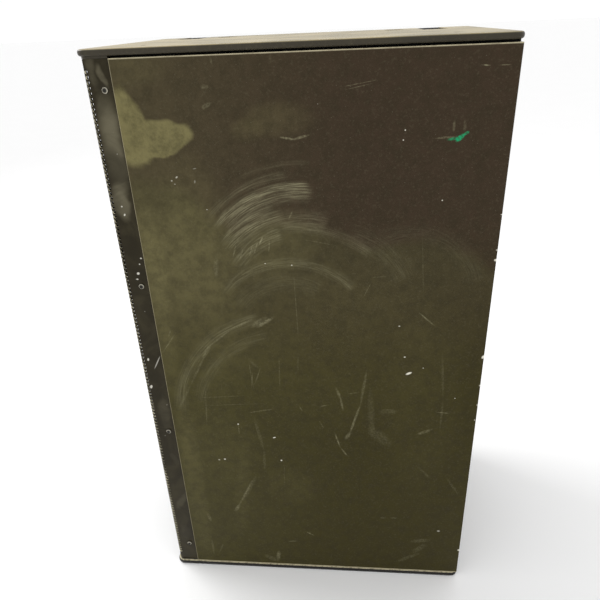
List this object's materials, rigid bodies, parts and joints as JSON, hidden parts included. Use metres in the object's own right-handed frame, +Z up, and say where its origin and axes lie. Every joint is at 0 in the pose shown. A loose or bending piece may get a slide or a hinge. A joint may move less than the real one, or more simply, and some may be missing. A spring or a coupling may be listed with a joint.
{
  "type": "line array speaker",
  "caption": "Two-way line array element in a plywood cabinet stood on end, with a folded perforated steel grille, flat end caps, flip-over rigging links and rear handles.",
  "frame": {"origin": "centre of the lower end cap's outer face, under the middle of the cabinet", "axes": "+Z up along the long side, from the lower end cap to the upper; -X is the front with the grille, +X the rear with handles and sockets; -Y and +Y are the two broad side panels, and the rigging links reach out past +Y"},
  "size_m": [0.582, 0.396, 1],
  "materials": {
    "panel": "plywood under satin textured paint",
    "cap": "satin painted aluminium plate",
    "grille": "satin painted perforated steel",
    "steel": "bright zinc plate",
    "plywood": "bare birch plywood",
    "frame": "black painted aluminium casting",
    "magnet": "grey plated steel and ferrite",
    "paper": "coated paper pulp",
    "rubber": "matt",
    "copper": "enamelled copper wire",
    "plastic": "moulded, fine grain",
    "socket": "moulded, satin",
    "circuit": "lacquered circuit board",
    "link": "black plated steel"
  },
  "bodies": {
    "cabinet": {"side_panel_near": "panel", "side_panel_far": "panel", "rear_panel": "panel", "front_baffle": "plywood", "chamber_divider_upper": "plywood", "chamber_divider_lower": "plywood", "port_board_upper": "plywood", "port_board_lower": "plywood", "front_grille": "grille", "grille_screw_near_1": "steel", "grille_screw_near_2": "steel", "grille_screw_near_3": "steel", "grille_screw_near_4": "steel", "grille_screw_far_1": "steel", "grille_screw_far_2": "steel", "grille_screw_far_3": "steel", "grille_screw_far_4": "steel", "woofer_frame_lower": "frame", "woofer_motor_lower": "magnet", "woofer_surround_lower": "rubber", "woofer_spider_lower": "paper", "woofer_frame_upper": "frame", "woofer_motor_upper": "magnet", "woofer_surround_upper": "rubber", "woofer_spider_upper": "paper", "waveguide": "plastic", "throat_plate": "frame", "compression_driver_left": "magnet", "compression_driver_right": "magnet", "handle_cup_lower": "plastic", "handle_bar_lower": "rubber", "handle_cup_upper": "plastic", "handle_bar_upper": "rubber", "connector_plate": "cap", "speaker_socket_upper": "socket", "speaker_socket_lower": "socket", "crossover_board": "circuit", "internal_wiring": "rubber", "end_cap_top": "cap", "end_board_top": "plywood", "end_cap_bottom": "cap", "end_board_bottom": "plywood", "link_axle_top_front": "steel", "link_axle_top_rear": "steel", "link_axle_bottom_front": "steel", "link_axle_bottom_rear": "steel"},
    "cone_lower": {"woofer_cone_lower": "paper", "woofer_dust_cap_lower": "paper", "woofer_voice_coil_lower": "copper"},
    "cone_upper": {"woofer_cone_upper": "paper", "woofer_dust_cap_upper": "paper", "woofer_voice_coil_upper": "copper"},
    "flip_link_top_front": {"link_top_front": "link"},
    "flip_link_top_rear": {"link_top_rear": "link"},
    "flip_link_bottom_front": {"link_bottom_front": "link"},
    "flip_link_bottom_rear": {"link_bottom_rear": "link"},
    "quick_pin_top_front": {"lock_pin_top_front": "steel"},
    "quick_pin_top_rear": {"lock_pin_top_rear": "steel"},
    "quick_pin_bottom_front": {"lock_pin_bottom_front": "steel"},
    "quick_pin_bottom_rear": {"lock_pin_bottom_rear": "steel"}
  },
  "joints": [
    {"name": "cone_travel_lower", "type": "slide", "parent": "cabinet", "child": "cone_lower", "axis": [-1, 0, 0], "range_m": [-0.006, 0.006], "stiffness_N_per_m": 3000, "deforming": ["woofer_surround_lower", "woofer_spider_lower"]},
    {"name": "cone_travel_upper", "type": "slide", "parent": "cabinet", "child": "cone_upper", "axis": [-1, 0, 0], "range_m": [-0.006, 0.006], "stiffness_N_per_m": 3000, "deforming": ["woofer_surround_upper", "woofer_spider_upper"]},
    {"name": "link_flip_top_front", "type": "hinge", "parent": "cabinet", "child": "flip_link_top_front", "pos_m": [-0.215, 0.1875, 0.996], "axis": [-1, 0, 0], "range_deg": [0, 180]},
    {"name": "link_flip_top_rear", "type": "hinge", "parent": "cabinet", "child": "flip_link_top_rear", "pos_m": [0.215, 0.1875, 0.996], "axis": [-1, 0, 0], "range_deg": [0, 180]},
    {"name": "link_flip_bottom_front", "type": "hinge", "parent": "cabinet", "child": "flip_link_bottom_front", "pos_m": [-0.215, 0.1875, 0.004], "axis": [1, 0, 0], "range_deg": [0, 180]},
    {"name": "link_flip_bottom_rear", "type": "hinge", "parent": "cabinet", "child": "flip_link_bottom_rear", "pos_m": [0.215, 0.1875, 0.004], "axis": [1, 0, 0], "range_deg": [0, 180]},
    {"name": "pin_pull_top_front", "type": "slide", "parent": "cabinet", "child": "quick_pin_top_front", "axis": [0, 0, 1], "range_m": [0, 0.014]},
    {"name": "pin_pull_top_rear", "type": "slide", "parent": "cabinet", "child": "quick_pin_top_rear", "axis": [0, 0, 1], "range_m": [0, 0.014]},
    {"name": "pin_pull_bottom_front", "type": "slide", "parent": "cabinet", "child": "quick_pin_bottom_front", "axis": [0, 0, -1], "range_m": [0, 0.014]},
    {"name": "pin_pull_bottom_rear", "type": "slide", "parent": "cabinet", "child": "quick_pin_bottom_rear", "axis": [0, 0, -1], "range_m": [0, 0.014]}
  ]
}
